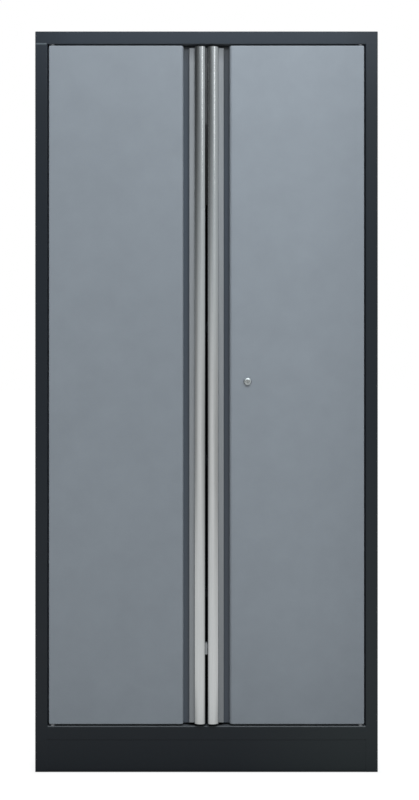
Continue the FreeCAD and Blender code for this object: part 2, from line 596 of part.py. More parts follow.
# ---------------------------------------------------------------------------
# passive (left) door bolt
# ---------------------------------------------------------------------------
guide = box(BOLT_X0 - 7.0, BOLT_X1 + 7.0, DOOR_T, 38.0, 1880.0, 1910.0)
guide = rounded(guide, 1.5, lambda e: along(e, (0, 0, 1)) and mid(e).y > 30)
guide = less(guide, [box(BOLT_X0 - 0.3, BOLT_X1 + 0.3, BOLT_Y0 - 0.3, BOLT_Y1 + 0.3, 1870, 1920)])
emit("left_bolt_guide", [guide])
bx = (BOLT_X0 + BOLT_X1) / 2
bar = box(BOLT_X0, BOLT_X1, BOLT_Y0, BOLT_Y1, 1845.0, 1926.0)
bar = bar.makeChamfer(1.2, [e for e in bar.Edges if abs(mid(e).z - 1926.0) < 1e-6])
knob = rod_y(bx, 1853.0, BOLT_Y1 - 1, 45.0, 5.0)
knob = rounded(knob, 1.2, lambda e: abs(mid(e).y - 45.0) < 1e-6)
emit("left_door_bolt", [union([bar, knob])])

# ---------------------------------------------------------------------------
# cam lock and rods on the right door
# ---------------------------------------------------------------------------
bezel = union([Part.makeCone(BEZEL_TOP, BEZEL_MID, BEZEL_H - BEZEL_SHOULDER, V(LOCK_X, -BEZEL_H, LOCK_Z), V(0, 1, 0)),
               Part.makeCone(BEZEL_MID, BEZEL_R, BEZEL_SHOULDER - 0.3, V(LOCK_X, -BEZEL_SHOULDER, LOCK_Z), V(0, 1, 0)),
               rod_y(LOCK_X, LOCK_Z, -0.3, 0.0, BEZEL_R)])
bezel = rounded(bezel, 0.6, lambda e: e.Closed and abs(mid(e).y + BEZEL_SHOULDER) < 1e-6)
body = union([bezel, rod_y(LOCK_X, LOCK_Z, 0.0, 29.0, 8.5)])
body = less(body, [rod_y(LOCK_X, LOCK_Z, -BEZEL_H - 1, 35, 6.05)])
emit("lock_body", [body])
emit("lock_nut", [less(hex_prism((LOCK_X, DOOR_T, LOCK_Z), 24.0, "y", 4.5), [rod_y(LOCK_X, LOCK_Z, 20, 32, 8.5)])])

plug = rod_y(LOCK_X, LOCK_Z, 0.2 - BEZEL_H, 29.1, 6.0)
plug = rounded(plug, 0.7, lambda e: abs(mid(e).y - 0.2 + BEZEL_H) < 1e-6)
plug = union([plug, rod_y(LOCK_X, LOCK_Z, 29.1, 31.2, 4.0)])
plug = less(plug, [box(LOCK_X - 0.9, LOCK_X + 0.9, -BEZEL_H - 1, 6, LOCK_Z - 4.2, LOCK_Z + 3.6),
                   box(LOCK_X - 0.9, LOCK_X + 1.7, -BEZEL_H - 1, 6, LOCK_Z - 1.2, LOCK_Z + 0.6),
                   rod_y(LOCK_X, LOCK_Z, 20.0, 33.0, 2.0)])
emit("lock_plug", [plug])

cy0, cy1 = 29.2, 31.2
ends = [(CAM_R * k45, -CAM_R * k45), (-CAM_R * k45, CAM_R * k45)]
web = box(-CAM_R, CAM_R, cy0, cy1, -4.6, 4.6)
web.rotate(V(0, 0, 0), V(0, 1, 0), 45.0)
web.translate(V(LOCK_X, 0, LOCK_Z))
cam = union([web, rod_y(LOCK_X, LOCK_Z, cy0, cy1, 8.0)]
            + [rod_y(LOCK_X + a, LOCK_Z + b, cy0, cy1, 4.6) for a, b in ends]
            + [rod_y(LOCK_X + a, LOCK_Z + b, cy0, 36.0, 2.5) for a, b in ends])
cam = less(cam, [rod_y(LOCK_X, LOCK_Z, 25, 40, 4.0)])
emit("lock_cam", [cam])

cs = rod_y(LOCK_X, LOCK_Z, cy1, 33.4, 5.5)
cs = rounded(cs, 0.8, lambda e: abs(mid(e).y - 33.4) < 1e-6)
cs = union([cs, rod_y(LOCK_X, LOCK_Z, 21.0, cy1, 2.0)])
cs = less(cs, [hex_prism((LOCK_X, 32.0, LOCK_Z), 4.0, "y", 3.0)])
emit("lock_cam_screw", [cs])

st = CAM_R * k45
upper = box(LOCK_X + ROD_IN, LOCK_X + ROD_OUT, ROD_Y0, ROD_Y1, LOCK_Z - 19.5, 1926.0)
upper = less(upper, [box(LOCK_X + ROD_IN - 1, LOCK_X + 15.2, ROD_Y0 - 1, ROD_Y1 + 1, LOCK_Z - st - 3.0, LOCK_Z - st + 3.0)])
upper = upper.makeChamfer(1.5, [e for e in upper.Edges if abs(mid(e).z - 1926.0) < 1e-6 and along(e, (0, 1, 0))])
emit("upper_lock_rod", [upper])
lower = box(LOCK_X - ROD_OUT, LOCK_X - ROD_IN, ROD_Y0, ROD_Y1, 132.0, LOCK_Z + 19.5)
lower = less(lower, [box(LOCK_X - 15.2, LOCK_X - ROD_IN + 1, ROD_Y0 - 1, ROD_Y1 + 1, LOCK_Z + st - 3.0, LOCK_Z + st + 3.0)])
lower = lower.makeChamfer(1.5, [e for e in lower.Edges if abs(mid(e).z - 132.0) < 1e-6 and along(e, (0, 1, 0))])
emit("lower_lock_rod", [lower])

guides = []
for x0, x1, zs in ((LOCK_X + ROD_IN, LOCK_X + ROD_OUT, (1160.0, 1550.0, 1890.0)),
                   (LOCK_X - ROD_OUT, LOCK_X - ROD_IN, (190.0, 560.0, 930.0))):
    for z in zs:
        g = box(x0 - 4.0, x1 + 4.0, DOOR_T, ROD_Y1 + 4.0, z - 10.0, z + 10.0)
        g = rounded(g, 1.5, lambda e: along(e, (0, 0, 1)) and mid(e).y > 30)
        guides.append(less(g, [box(x0 - 0.3, x1 + 0.3, ROD_Y0 - 0.3, ROD_Y1 + 0.3, z - 12, z + 12)]))
emit("lock_rod_guides", guides)

print("nodes", COUNT[0], "solids", COUNT[1])
print("box", [round(v, 3) for v in BOX])
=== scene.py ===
import json
import math

import bmesh
import bpy
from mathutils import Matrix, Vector


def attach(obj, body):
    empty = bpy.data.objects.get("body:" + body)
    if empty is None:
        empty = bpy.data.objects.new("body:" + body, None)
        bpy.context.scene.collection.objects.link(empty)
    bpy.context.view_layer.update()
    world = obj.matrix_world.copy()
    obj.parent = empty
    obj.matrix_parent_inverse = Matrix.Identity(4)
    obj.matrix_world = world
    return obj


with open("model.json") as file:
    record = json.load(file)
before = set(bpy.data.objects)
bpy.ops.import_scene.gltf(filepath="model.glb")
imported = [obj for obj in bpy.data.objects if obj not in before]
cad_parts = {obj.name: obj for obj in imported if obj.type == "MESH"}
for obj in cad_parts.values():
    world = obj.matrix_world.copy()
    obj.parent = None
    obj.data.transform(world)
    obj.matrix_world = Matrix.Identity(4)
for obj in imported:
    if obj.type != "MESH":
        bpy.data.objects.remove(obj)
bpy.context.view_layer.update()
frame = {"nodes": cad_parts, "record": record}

nodes = frame["nodes"]
scene = bpy.context.scene
scene.view_settings.view_transform = "Standard"
scene.view_settings.look = "None"
scene.view_settings.exposure = 0.0
scene.view_settings.gamma = 1.0

# ---------------------------------------------------------------------------
# colours, linear
# ---------------------------------------------------------------------------
DOOR = (0.287, 0.317, 0.347)        # blue-grey powder coat of the doors
CARCASS = (0.0083, 0.0130, 0.0190)  # charcoal powder coat of the body
INSIDE = (0.0110, 0.0150, 0.0200)   # the same coat inside, a little thinner
CHANNEL = (0.056, 0.073, 0.096)     # dark slate strip of the finger grooves
BAR = (0.845, 0.865, 0.862)         # satin anodised handle bars
LIP = (0.305, 0.318, 0.328)         # the duller lip beside each bar
FRONT = -0.2243                     # front plane of the frame


# ---------------------------------------------------------------------------
# node helpers
# ---------------------------------------------------------------------------
class Shader:
    """A Principled material and the few nodes that the finishes below need."""

    def __init__(self, name):
        self.mat = bpy.data.materials.new(name)
        self.mat.use_nodes = True
        self.nt = self.mat.node_tree
        self.nt.nodes.clear()
        self.out = self.nt.nodes.new("ShaderNodeOutputMaterial")
        self.bsdf = self.nt.nodes.new("ShaderNodeBsdfPrincipled")
        self.link(self.bsdf.outputs["BSDF"], self.out.inputs["Surface"])
        self.coord = self.nt.nodes.new("ShaderNodeTexCoord").outputs["Object"]

    def link(self, a, b):
        self.nt.links.new(a, b)

    def put(self, **values):
        for key, value in values.items():
            sock = self.bsdf.inputs[key.replace("_", " ")]
            sock.default_value = value if not isinstance(value, tuple) else (*value, 1.0)

    def stretched(self, sx, sy, sz, loc=(0.0, 0.0, 0.0)):
        n = self.nt.nodes.new("ShaderNodeMapping")
        n.inputs["Scale"].default_value = (sx, sy, sz)
        n.inputs["Location"].default_value = loc
        self.link(self.coord, n.inputs["Vector"])
        return n.outputs["Vector"]

    def noise(self, scale, detail=2.0, rough=0.5, vec=None, distort=0.0):
        n = self.nt.nodes.new("ShaderNodeTexNoise")
        n.inputs["Scale"].default_value = scale
        n.inputs["Detail"].default_value = detail
        n.inputs["Roughness"].default_value = rough
        n.inputs["Distortion"].default_value = distort
        self.link(vec or self.coord, n.inputs["Vector"])
        return n.outputs["Fac"]

    def cells(self, scale, vec=None, feature="F1"):
        n = self.nt.nodes.new("ShaderNodeTexVoronoi")
        n.feature = feature
        n.inputs["Scale"].default_value = scale
        self.link(vec or self.coord, n.inputs["Vector"])
        return n

    def wave(self, scale, direction="Z", kind="BANDS", vec=None, distort=0.0):
        n = self.nt.nodes.new("ShaderNodeTexWave")
        n.wave_type = kind
        if kind == "BANDS":
            n.bands_direction = direction
        else:
            n.rings_direction = direction
        n.inputs["Scale"].default_value = scale
        n.inputs["Distortion"].default_value = distort
        self.link(vec or self.coord, n.inputs["Vector"])
        return n.outputs["Fac"]

    def ramp(self, fac, stops):
        n = self.nt.nodes.new("ShaderNodeValToRGB")
        els = n.color_ramp.elements
        while len(els) < len(stops):
            els.new(0.5)
        for e, (pos, col) in zip(els, stops):
            e.position = pos
            e.color = (*col, 1.0) if isinstance(col, tuple) else (col, col, col, 1.0)
        self.link(fac, n.inputs["Fac"])
        return n.outputs["Color"]

    def span(self, fac, a, b, lo, hi):
        n = self.nt.nodes.new("ShaderNodeMapRange")
        n.inputs["From Min"].default_value = a
        n.inputs["From Max"].default_value = b
        n.inputs["To Min"].default_value = lo
        n.inputs["To Max"].default_value = hi
        self.link(fac, n.inputs["Value"])
        return n.outputs["Result"]

    def mix(self, fac, a, b, kind="MIX"):
        n = self.nt.nodes.new("ShaderNodeMix")
        n.data_type = "RGBA"
        n.blend_type = kind
        for val, sock in ((fac, n.inputs[0]), (a, n.inputs[6]), (b, n.inputs[7])):
            if hasattr(val, "is_output"):
                self.link(val, sock)
            elif isinstance(val, tuple):
                sock.default_value = (*val, 1.0)
            else:
                sock.default_value = val
        return n.outputs[2]

    def math(self, op, a, b=0.0):
        n = self.nt.nodes.new("ShaderNodeMath")
        n.operation = op
        for val, sock in ((a, n.inputs[0]), (b, n.inputs[1])):
            if hasattr(val, "is_output"):
                self.link(val, sock)
            else:
                sock.default_value = val
        return n.outputs[0]

    def axis(self, which, source=None):
        n = self.nt.nodes.new("ShaderNodeSeparateXYZ")
        self.link(source or self.coord, n.inputs["Vector"])
        return n.outputs[which]

    def normal(self):
        return self.nt.nodes.new("ShaderNodeNewGeometry").outputs["Normal"]

    def bump(self, height, strength, distance, below=None):
        n = self.nt.nodes.new("ShaderNodeBump")
        n.inputs["Strength"].default_value = strength
        n.inputs["Distance"].default_value = distance
        self.link(height, n.inputs["Height"])
        if below is not None:
            self.link(below, n.inputs["Normal"])
        return n.outputs["Normal"]

    def wire(self, color=None, rough=None, normal=None):
        if color is not None:
            self.link(color, self.bsdf.inputs["Base Color"])
        if rough is not None:
            self.link(rough, self.bsdf.inputs["Roughness"])
        if normal is not None:
            self.link(normal, self.bsdf.inputs["Normal"])
        return self.mat


def times(col, k):
    return tuple(min(1.0, c * k) for c in col)


# ---------------------------------------------------------------------------
# finishes
# ---------------------------------------------------------------------------
def powder_coat(name, base, rough=(0.38, 0.47), peel=0.10, grain=0.05, dust=0.0, scuff=0.0, specular=0.5,
                painted_top_highlight=0.0, painted_lower_right_light=None, painted_sill_highlight=0.0, painted_rail_shadow=0.0, painted_floor_light=None, painted_light_drifts=(), mottle=0.0):
    """Baked powder coat: fine speckle, a soft orange peel and a slow drift of tone.

    painted_top_highlight: a painted highlight, the coat paler towards the top of the cabinet, less so at its two sides
    and on the left.
    flank: painted light, the coat paler, and less blue, towards the lower right.
    sill: a painted highlight, a pale band broken up by noise on the up-facing front edge under the doors.
    shade: painted shadow, the coat darkened under the top rail.
    warm: painted light from the floor, the tone that the lower part of the cabinet turns to.
    drifts: painted light and shadow, further slow changes of tone as (axis, from, to, factor there, factor here).
    mottle: faint clouds in the coat, a hand's breadth and smaller.
    """
    s = Shader(name)
    s.put(Specular_IOR_Level=specular)
    speck = s.noise(2600.0, 2.0, 0.6)
    drift = s.noise(2.4, 2.0, 0.45)
    col = s.ramp(speck, [(0.30, times(base, 1.0 - grain)), (0.70, times(base, 1.0 + grain))])
    # painted highlight: the coat is paled towards the top, where the overhead light falls
    if painted_top_highlight:
        pale = times(base, 1.0 + painted_top_highlight)
        high = s.span(s.axis("Z"), 1.78, 1.96, 0.0, 1.0)
        inner = s.span(s.math("ABSOLUTE", s.axis("X")), 0.36, 0.44, 1.0, 0.42)
        inner = s.math("MULTIPLY", inner, s.span(s.axis("X"), 0.0, 0.28, 0.78, 1.0))
        col = s.mix(s.math("MULTIPLY", high, inner), col,
                    s.ramp(speck, [(0.30, times(pale, 1.0 - grain)), (0.70, times(pale, 1.0 + grain))]))
    # painted light: the lower part is paler and less blue, as light bounced up from the floor
    if painted_floor_light:
        deep = tuple(c * k for c, k in zip(base, painted_floor_light))
        col = s.mix(s.span(s.axis("Z"), 0.30, 1.00, 1.0, 0.0), col,
                    s.ramp(speck, [(0.30, times(deep, 1.0 - grain)), (0.70, times(deep, 1.0 + grain))]))
    # painted light: the coat is paler and less blue towards the lower right, where light reaches the base from the
    # right
    if painted_lower_right_light:
        pale = tuple(c * k for c, k in zip(base, painted_lower_right_light))
        right = s.span(s.axis("X"), 0.06, 0.37, 0.0, 1.0)
        low = s.span(s.axis("Z"), 0.06, 0.90, 1.0, 0.2)
        col = s.mix(s.math("MULTIPLY", right, low), col,
                    s.ramp(speck, [(0.30, times(pale, 1.0 - grain)), (0.70, times(pale, 1.0 + grain))]))
    # painted shadow: the coat is darkened below the top rail, more so right under it
    if painted_rail_shadow:
        rail_shadow_mask = s.span(s.axis("Z"), 1.60, 1.93, 0.0, painted_rail_shadow)
        col = s.mix(rail_shadow_mask, col, times(base, 0.1))
        col = s.mix(s.span(s.axis("Z"), 1.895, 1.938, 0.0, 0.45), col, times(base, 0.1))
    # painted light and shadow: slow changes of tone along an axis
    for which, here, there, a, b in painted_light_drifts:
        col = s.mix(1.0, col, s.span(s.axis(which), here, there, a, b), "MULTIPLY")
    col = s.mix(1.0, col, s.ramp(drift, [(0.30, 0.985), (0.70, 1.0)]), "MULTIPLY")
    if mottle:
        cloud = s.noise(15.0, 4.0, 0.6)
        col = s.mix(1.0, col, s.ramp(cloud, [(0.25, 1.0 - mottle), (0.75, 1.0)]), "MULTIPLY")
    r = s.span(s.noise(900.0, 2.0, 0.5), 0.3, 0.7, rough[0], rough[1])
    # painted highlight: the up-facing front edge under the doors is paled, as if it caught the overhead light
    if painted_sill_highlight:
        near = s.span(s.axis("Y"), FRONT + 0.008, FRONT + 0.026, painted_sill_highlight, 0.0)
        edge = s.span(s.axis("Z", s.normal()), 0.15, 0.75, 0.0, 1.0)
        highlight_breakup = s.span(s.noise(40.0, 4.0, 0.6, s.stretched(0.4, 1.0, 1.0)), 0.3, 0.7, 0.7, 1.0)
        col = s.mix(s.math("MULTIPLY", s.math("MULTIPLY", near, edge), highlight_breakup), col, (0.30, 0.315, 0.33))
    if dust:
        up = s.span(s.axis("Z", s.normal()), 0.6, 0.98, 0.0, 1.0)
        patch = s.math("MULTIPLY", up, s.span(s.noise(14.0, 4.0, 0.6), 0.38, 0.72, 0.15, 1.0))
        fac = s.math("MULTIPLY", patch, dust)
        col = s.mix(fac, col, (0.30, 0.29, 0.27))
        r = s.math("ADD", r, s.math("MULTIPLY", patch, 0.12))
    if scuff:
        low = s.span(s.axis("Z"), 0.01, 0.13, 1.0, 0.0)
        lines = s.span(s.noise(55.0, 5.0, 0.7, s.stretched(0.35, 1.0, 1.8)), 0.60, 0.74, 0.0, 1.0)
        fac = s.math("MULTIPLY", s.math("MULTIPLY", low, lines), scuff)
        col = s.mix(fac, col, (0.12, 0.12, 0.12))
    peel_n = s.bump(s.noise(700.0, 2.0, 0.5), peel, 0.00010)
    n = s.bump(speck, peel * 0.8, 0.00003, peel_n)
    return s.wire(col, r, n)


def brushed_metal(name, base, rough=(0.24, 0.34), streak=0.10, fine=900.0, pull=0.010, bumpy=0.10, metal=1.0, painted_shadow_bands=(), edge=None):
    """Metal brushed along its length (z): long hair lines in tone, gloss and height.

    edge: painted shadow low down on the edges that face each other across the slot, as (at, clear, below, above,
    factor).
    """
    s = Shader(name)
    s.put(Metallic=metal)
    along = s.stretched(1.0, 1.0, pull)
    hair = s.noise(fine, 3.0, 0.65, along)
    band = s.noise(fine * 0.16, 2.0, 0.5, along)
    cloud = s.noise(7.0, 3.0, 0.5)
    col = s.ramp(hair, [(0.30, times(base, 1.0 - streak)), (0.70, times(base, 1.0 + streak * 0.6))])
    col = s.mix(1.0, col, s.ramp(band, [(0.3, 0.965), (0.7, 1.0)]), "MULTIPLY")
    col = s.mix(1.0, col, s.ramp(cloud, [(0.3, 0.975), (0.7, 1.0)]), "MULTIPLY")
    # painted shadow: the tone is darkened in bands along the height
    for here, there, a, b in painted_shadow_bands:
        col = s.mix(1.0, col, s.span(s.axis("Z"), here, there, a, b), "MULTIPLY")
    # painted shadow: the facing edges of the bars are darkened low down
    if edge:
        near = s.span(s.math("ABSOLUTE", s.axis("X")), edge[0], edge[1], edge[4], 1.0)
        low = s.span(s.axis("Z"), edge[2], edge[3], 1.0, 0.0)
        col = s.mix(low, col, s.mix(1.0, col, near, "MULTIPLY"))
    r = s.span(hair, 0.3, 0.7, rough[0], rough[1])
    n = s.bump(hair, bumpy, 0.00004)
    return s.wire(col, r, n)


def zinc_plate(name, base=(0.60, 0.60, 0.58), rough=(0.28, 0.46), thread=None):
    """Bright zinc: faint crystal patches with a touch of yellow and blue."""
    s = Shader(name)
    s.put(Metallic=1.0)
    cell = s.cells(420.0)
    patch = s.axis("X", cell.outputs["Color"])
    tint = s.noise(60.0, 3.0, 0.6)
    col = s.ramp(patch, [(0.0, times(base, 0.90)), (1.0, times(base, 1.08))])
    col = s.mix(0.35, col, s.ramp(tint, [(0.35, (0.56, 0.58, 0.62)), (0.65, (0.64, 0.60, 0.50))]))
    r = s.span(patch, 0.0, 1.0, rough[0], rough[1])
    n = s.bump(s.noise(1500.0, 2.0, 0.6), 0.15, 0.00004)
    if thread:
        n = s.bump(s.wave(thread, "Z"), 0.9, 0.0009, n)
    return s.wire(col, r, n)


def chrome(name, base=(0.80, 0.805, 0.805), rough=(0.17, 0.21), turned=None, painted_dark_band=None):
    """Polished plating with faint handling smears, or the turned face of a plug.

    painted_dark_band: painted shadow and dark reflection, the plating darkened between two heights, as (below, from,
    to, above, factor).
    """
    s = Shader(name)
    s.put(Metallic=1.0)
    smear = s.noise(160.0, 4.0, 0.6)
    col = s.ramp(smear, [(0.3, times(base, 0.92)), (0.7, base)])
    # painted shadow and dark reflection: the plating is darkened between two heights
    if painted_dark_band:
        low = s.span(s.axis("Z"), painted_dark_band[0], painted_dark_band[1], 0.8, painted_dark_band[4])
        high = s.span(s.axis("Z"), painted_dark_band[2], painted_dark_band[3], painted_dark_band[4], 1.0)
        col = s.mix(1.0, col, s.math("MAXIMUM", low, high), "MULTIPLY")
    r = s.span(smear, 0.3, 0.7, rough[0], rough[1])
    n = s.bump(s.noise(2200.0, 2.0, 0.6), 0.06, 0.00002)
    if turned:
        n = s.bump(s.wave(1500.0, "Y", "RINGS", s.stretched(1.0, 1.0, 1.0, turned)), 0.10, 0.00002, n)
    return s.wire(col, r, n)


def moulded(name, base, rough=(0.45, 0.58), grain=1600.0, bumpy=0.2, specular=0.45, sheen=0.0, fade=None):
    """Moulded plastic or rubber: spark-eroded grain, slight flow marks."""
    s = Shader(name)
    s.put(Specular_IOR_Level=specular, Sheen_Weight=sheen)
    g = s.noise(grain, 2.0, 0.6)
    flow = s.noise(90.0, 4.0, 0.6, distort=0.6)
    col = s.ramp(g, [(0.3, times(base, 0.93)), (0.7, times(base, 1.06))])
    col = s.mix(1.0, col, s.ramp(flow, [(0.3, 0.94), (0.7, 1.0)]), "MULTIPLY")
    # painted light: the tone is scaled along the height by the listed factors
    if fade:
        lo, hi = fade[0][0], fade[-1][0]
        painted_slot_light = s.ramp(s.span(s.axis("Z"), lo, hi, 0.0, 1.0), [((z - lo) / (hi - lo), k) for z, k in fade])
        col = s.mix(1.0, col, painted_slot_light, "MULTIPLY")
    r = s.span(flow, 0.3, 0.7, rough[0], rough[1])
    return s.wire(col, r, s.bump(g, bumpy, 0.00006))


def ferrite(name):
    """Ground ceramic magnet: dark, with fine grinding lines."""
    s = Shader(name)
    lines = s.noise(700.0, 3.0, 0.7, s.stretched(0.02, 1.0, 1.0))
    col = s.ramp(lines, [(0.3, (0.055, 0.053, 0.052)), (0.7, (0.095, 0.092, 0.090))])
    return s.wire(col, s.span(lines, 0.3, 0.7, 0.35, 0.55), s.bump(lines, 0.2, 0.00004))


LOCK_AXIS = (-0.1098, 0.0, -1.044)
# The door coats carry painted light and shadow: the right door darkens towards its right edge and low down; the left
# door's coat is a darker copy, painted shadow, darkening further towards the top.
door_coat = powder_coat("door_powder_coat", times(DOOR, 1.044), rough=(0.40, 0.50), peel=0.10, specular=0.35,
                        painted_light_drifts=[("X", 0.27, 0.41, 1.0, 0.925), ("Z", 0.16, 0.40, 0.95, 1.0)], mottle=0.075)
left_coat = powder_coat("left_door_powder_coat", times(DOOR, 1.009), rough=(0.40, 0.50), peel=0.10, specular=0.35,
                        painted_light_drifts=[("Z", 0.30, 1.85, 1.0, 0.940)], mottle=0.075)
# The body's coat carries a painted highlight at the top, painted light towards the lower right and painted floor light
# low down.
carcass_coat = powder_coat("carcass_powder_coat", CARCASS, rough=(0.38, 0.46), peel=0.10, dust=0.04, scuff=0.06, specular=0.36, painted_top_highlight=1.20, painted_lower_right_light=(2.15, 1.88, 1.40), painted_floor_light=(1.18, 1.08, 0.98))
sill_coat = powder_coat("sill_powder_coat", CARCASS, rough=(0.38, 0.46), peel=0.10, dust=0.04, scuff=0.06, specular=0.36, painted_sill_highlight=0.40, painted_lower_right_light=(2.15, 1.88, 1.40), painted_floor_light=(1.18, 1.08, 0.98))
header_underside_light_paint = powder_coat("header_underside_painted_light", (0.12, 0.135, 0.15), rough=(0.44, 0.54), peel=0.10, specular=0.36)
jamb_gap_light_paint = powder_coat("jamb_gap_painted_light", (0.060, 0.070, 0.082), rough=(0.44, 0.54), peel=0.10, specular=0.36)
seam_highlight_paint = powder_coat("seam_bead_painted_highlight", (0.068, 0.085, 0.097), rough=(0.36, 0.44), peel=0.10, grain=0.08, specular=0.42)
inside_coat = powder_coat("inside_powder_coat", INSIDE, rough=(0.42, 0.54), peel=0.10, dust=0.05, specular=0.36)
# The groove strips carry a painted shadow under the top rail and painted light low down; the right strip's coat is a
# darker copy, painted shadow.
channel_coat = powder_coat("channel_powder_coat", CHANNEL, rough=(0.30, 0.38), peel=0.08, specular=0.75, painted_rail_shadow=0.42,
                           painted_light_drifts=[("Z", 0.15, 0.85, 1.12, 1.0)])
right_channel = powder_coat("right_channel_powder_coat", times(CHANNEL, 0.81), rough=(0.30, 0.38), peel=0.08, specular=0.72, painted_rail_shadow=0.60,
                            painted_light_drifts=[("Z", 0.15, 0.85, 1.20, 1.0)])
bar_metal = brushed_metal("handle_bar_aluminium", BAR, rough=(0.17, 0.22), streak=0.06, bumpy=0.05,
                          edge=(0.0040, 0.0085, 0.90, 1.25, 0.66))
# The left lip's coat is a paler copy, painted light; both lips are darkened near the top as painted shadow under the
# rail, the right lip also low down.
lip_metal = brushed_metal("left_handle_lip_aluminium", times(LIP, 1.04), rough=(0.38, 0.48), streak=0.08, metal=0.25,
                          painted_shadow_bands=[(1.60, 1.86, 1.0, 0.83), (1.895, 1.935, 1.0, 0.62)])
right_lip = brushed_metal("right_handle_lip_aluminium", LIP, rough=(0.38, 0.48), streak=0.08, metal=0.25,
                          painted_shadow_bands=[(1.60, 1.86, 1.0, 0.84), (1.895, 1.935, 1.0, 0.62), (0.15, 0.70, 0.89, 1.0)])
lock_chrome = chrome("lock_satin_finish", (0.70, 0.735, 0.73), (0.52, 0.58))
foot_chrome = chrome("lock_foot_finish", (0.70, 0.735, 0.73), (0.52, 0.58), painted_dark_band=(1.0350, 1.0395, 1.0455, 1.0515, 0.27))
plug_chrome = chrome("lock_plug_finish", (0.55, 0.575, 0.57), (0.18, 0.28), LOCK_AXIS)
zinc = zinc_plate("zinc_plated_steel")
zinc_thread = zinc_plate("zinc_threaded_steel", thread=210.0)
rod_steel = brushed_metal("rod_zinc_steel", (0.55, 0.55, 0.53), (0.30, 0.44), 0.12, 700.0, 0.02, 0.15)
nylon = moulded("natural_nylon", (0.62, 0.61, 0.56), (0.42, 0.55), 1400.0, 0.15)
washer_nylon = moulded("grey_nylon", (0.26, 0.265, 0.275), (0.40, 0.52), 1400.0, 0.15)
upper_washer_shadow_paint = moulded("upper_washer_painted_shadow", (0.15, 0.153, 0.16), (0.40, 0.52), 1400.0, 0.15)
black_plastic = moulded("black_moulding", (0.016, 0.016, 0.017))
foot_plastic = moulded("foot_pad_moulding", (0.020, 0.020, 0.021), (0.5, 0.65), 1200.0, 0.3)
rubber = moulded("stop_rubber_finish", (0.020, 0.020, 0.020), (0.70, 0.85), 900.0, 0.3, 0.3, 0.15)
buffer_grey = moulded("grey_buffer_finish", (0.36, 0.365, 0.365), (0.55, 0.68), 1000.0, 0.25)
# the strip's tone, rising towards the top, is painted light falling into the slot from above
strip_grey = moulded("slot_strip_finish", (0.104, 0.107, 0.109), (0.55, 0.70), 1000.0, 0.25, 0.2,
                     fade=[(1.515, 0.02), (1.60, 0.03), (1.67, 0.10), (1.729, 0.17), (1.737, 0.68), (1.81, 0.55), (1.89, 0.75), (1.935, 0.80)])
magnet = ferrite("magnet_ferrite_finish")

finish = {
    "carcass_coat": carcass_coat,
    "inside_coat": inside_coat,
    "door_coat": door_coat,
    "channel_coat": channel_coat,
    "handle_aluminium": bar_metal,
    "lock_chrome": lock_chrome,
    "zinc_steel": zinc,
    "nylon": nylon,
    "black_plastic": black_plastic,
    "magnet_ferrite": magnet,
    "stop_rubber": rubber,
    "buffer_grey": buffer_grey,
}
special = {
    "left_handle_lip": lip_metal,
    "right_handle_lip": right_lip,
    "lock_plug": plug_chrome,
    "bottom_panel": sill_coat,
    "left_door_skin": left_coat,
    "right_finger_channel": right_channel,
    "hinge_washers": washer_nylon,
    "upper_lock_rod": rod_steel,
    "lower_lock_rod": rod_steel,
    "left_door_bolt": rod_steel,
}
slot_of = {p["node"]: p["material_slot"] for p in frame["record"]["subparts"]}
for name, obj in nodes.items():
    mat = special.get(name, finish[slot_of[name]])
    if not obj.material_slots:
        obj.data.materials.append(mat)
    for k in range(len(obj.material_slots)):
        obj.material_slots[k].material = mat

# levelling feet: a moulded pad under a plated, threaded stem
for name, obj in nodes.items():
    if not name.endswith("_levelling_foot"):
        continue
    me = obj.data
    me.materials.clear()
    for m in (foot_plastic, zinc, zinc_thread):
        me.materials.append(m)
    for p in me.polygons:
        z = p.center.z
        p.material_index = 0 if z < 0.0102 else (1 if z < 0.0160 else 2)

# slot buffers: a pale block low down, a darker long strip at the top, whose tone rising towards the top is painted
# light falling into the slot
me = nodes["left_door_buffers"].data
me.materials.clear()
me.materials.append(buffer_grey)
me.materials.append(strip_grey)
for p in me.polygons:
    p.material_index = 1 if p.center.z > 1.0 else 0

# the foot of the lock's bezel is darkened at its sides and below: painted shadow and dark reflection
me = nodes["lock_body"].data
me.materials.append(foot_chrome)
for p in me.polygons:
    r = math.hypot(p.center.x + LOCK_AXIS[0], p.center.z + LOCK_AXIS[2])
    p.material_index = 1 if r > 0.0091 and p.center.y < FRONT - 0.0002 else 0

# pivot washers: the upper pair is a darker copy of the same nylon, painted shadow
me = nodes["hinge_washers"].data
me.materials.append(upper_washer_shadow_paint)
for p in me.polygons:
    p.material_index = 1 if p.center.z > 1.0 else 0

# the jamb returns in the folds beside the doors are paler than the body's coat: painted light in the gaps
for side in ("left_side_panel", "right_side_panel"):
    me = nodes[side].data
    me.materials.append(jamb_gap_light_paint)
    for p in me.polygons:
        deep = p.center.y - FRONT
        if abs(p.normal.x) > 0.9 and abs(abs(p.center.x) - 0.4255) < 0.0004 and 0.001 < deep < 0.032:
            p.material_index = len(me.materials) - 1

# the underside of the door header is paler than the body's coat: painted light in the gap above the doors
me = nodes["door_header"].data
me.materials.append(header_underside_light_paint)
for p in me.polygons:
    p.material_index = 1 if p.normal.z < -0.5 and p.center.z > 1.94 else 0


